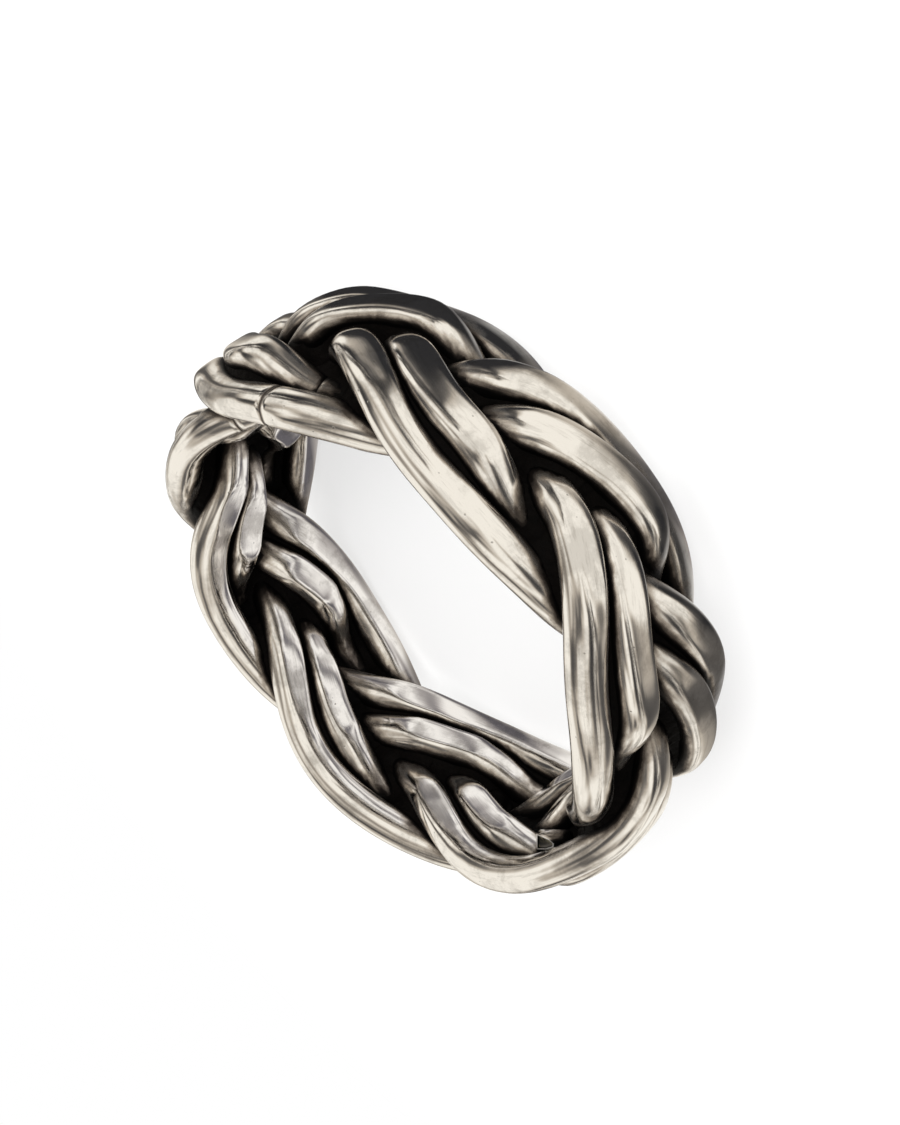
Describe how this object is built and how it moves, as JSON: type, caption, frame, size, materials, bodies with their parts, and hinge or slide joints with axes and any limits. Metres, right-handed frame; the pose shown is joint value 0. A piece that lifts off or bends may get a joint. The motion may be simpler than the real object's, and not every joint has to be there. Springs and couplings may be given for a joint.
{
  "type": "braided band ring",
  "caption": "Finger ring: a flat plait of doubled round silver wires, closed into a woven band and lying on its side.",
  "frame": {"origin": "on the finger hole's axis, at the level of the lowest bights, which the ring rests on", "axes": "+Z along the finger hole's axis, up towards the edge that the picture shows nearest; -Y towards the camera"},
  "size_m": [0.0243, 0.0243, 0.0086],
  "materials": {
    "silver": "polished silver with blackened recesses"
  },
  "bodies": {
    "root": {"strand_1_upper_wire": "silver", "strand_1_lower_wire": "silver", "strand_2_upper_wire": "silver", "strand_2_lower_wire": "silver", "strand_3_upper_wire": "silver", "strand_3_lower_wire": "silver", "cut_tail": "silver"}
  },
  "joints": []
}
